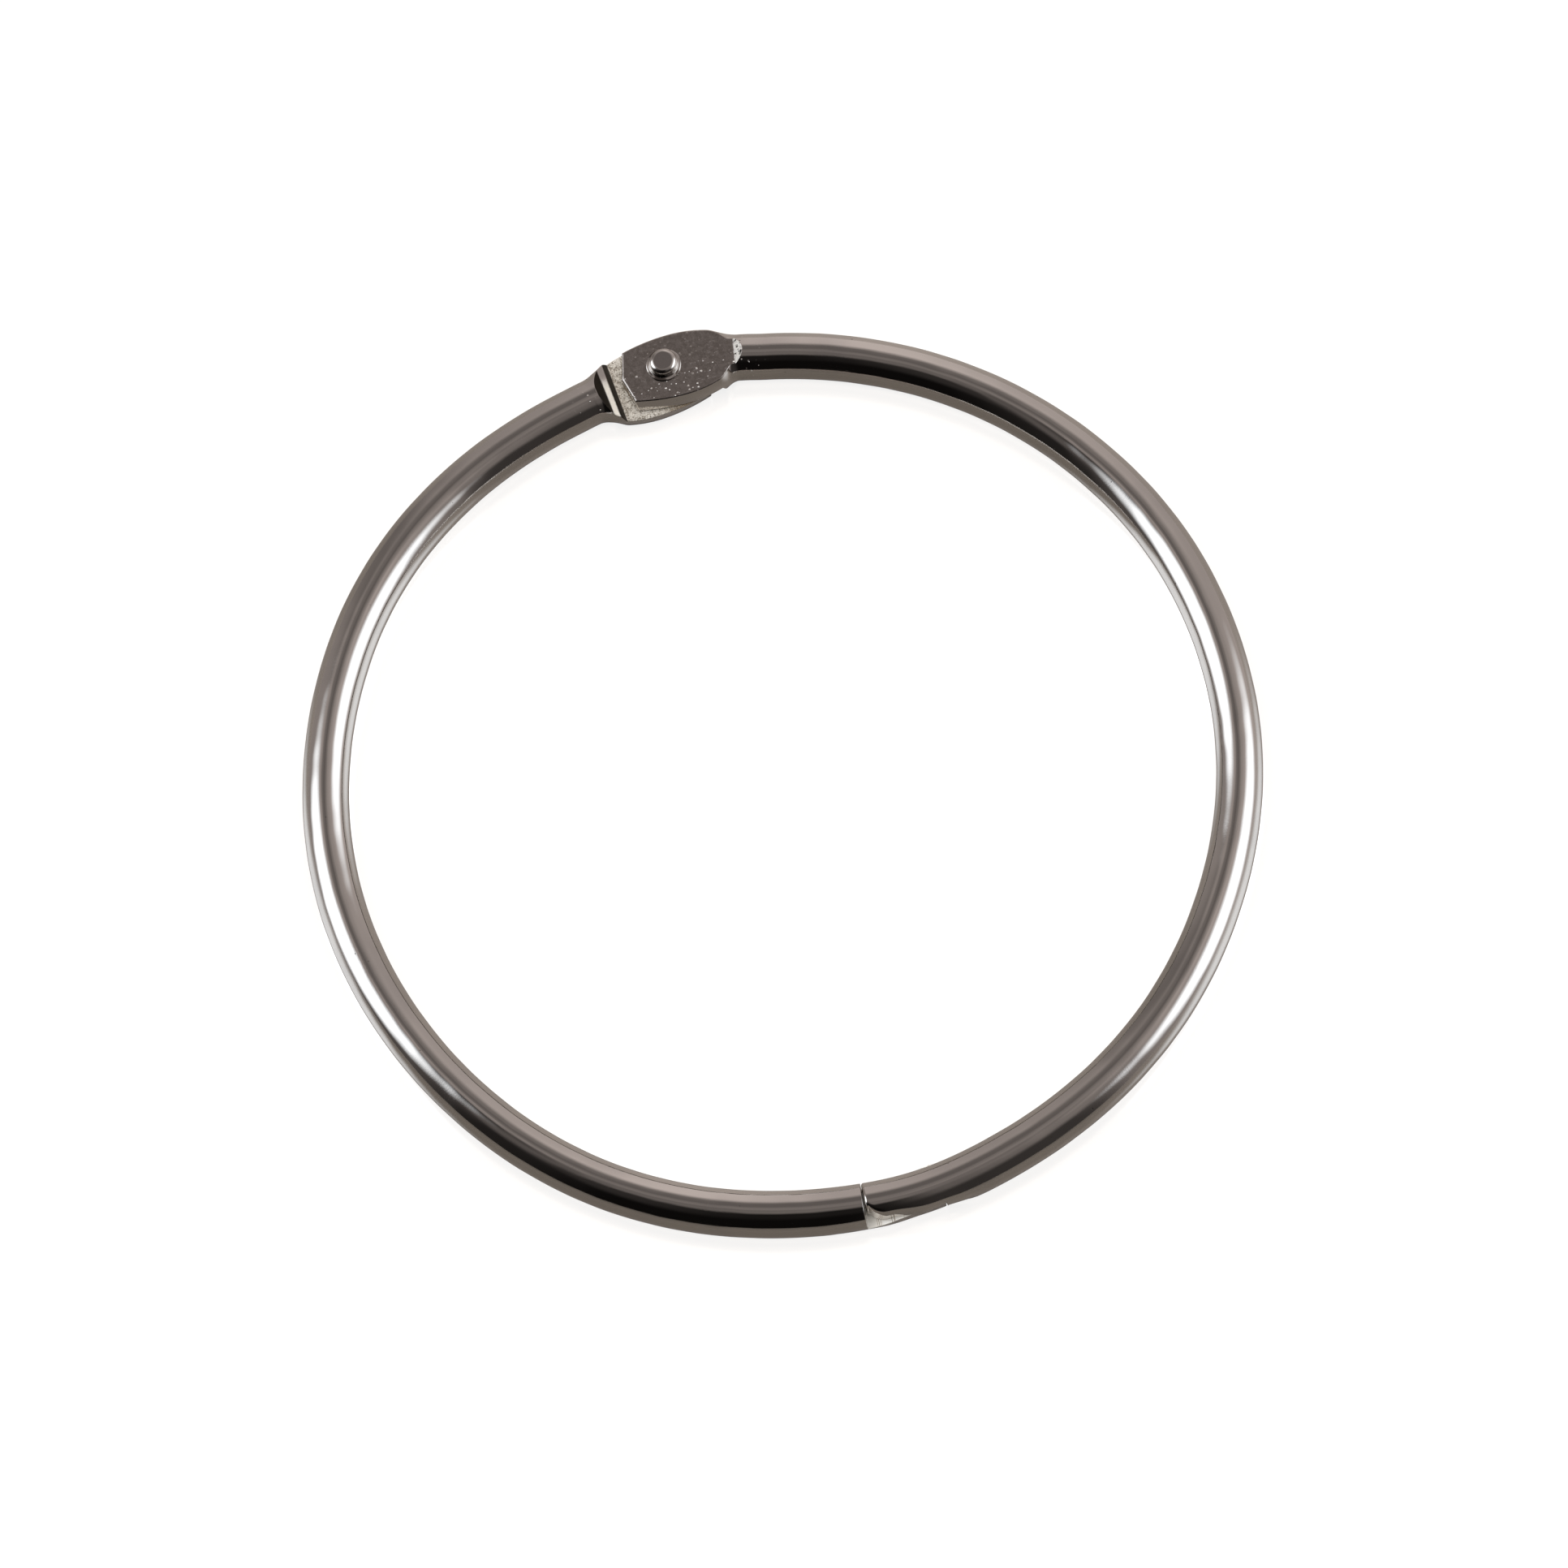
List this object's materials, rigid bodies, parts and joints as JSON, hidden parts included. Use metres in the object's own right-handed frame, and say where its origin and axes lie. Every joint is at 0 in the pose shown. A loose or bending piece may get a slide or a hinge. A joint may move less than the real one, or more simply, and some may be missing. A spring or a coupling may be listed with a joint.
{
  "type": "binder ring",
  "caption": "Round metal binder ring of two wire half rings that swing apart on a rivet and snap shut with hooked tongues.",
  "frame": {"origin": "centre of the closed ring, half way through the wire's thickness", "axes": "+Z along the hinge rivet towards its set head, +Y from the catch to the hinge, +X towards the half that swings"},
  "size_m": [0.0842, 0.0852, 0.0049],
  "materials": {
    "nickel_wire": "bright nickel plate on drawn steel wire, with fine pits and drawing lines",
    "nickel_rivet": "bright nickel plate, slightly marked by the setting tool"
  },
  "bodies": {
    "left": {"left_half": "nickel_wire", "rivet": "nickel_rivet"},
    "right": {"right_half": "nickel_wire"}
  },
  "joints": [
    {"name": "hinge", "type": "hinge", "parent": "left", "child": "right", "pos_m": [0, 0.04005, 0], "axis": [0, 0, 1], "range_deg": [0, 130]}
  ]
}
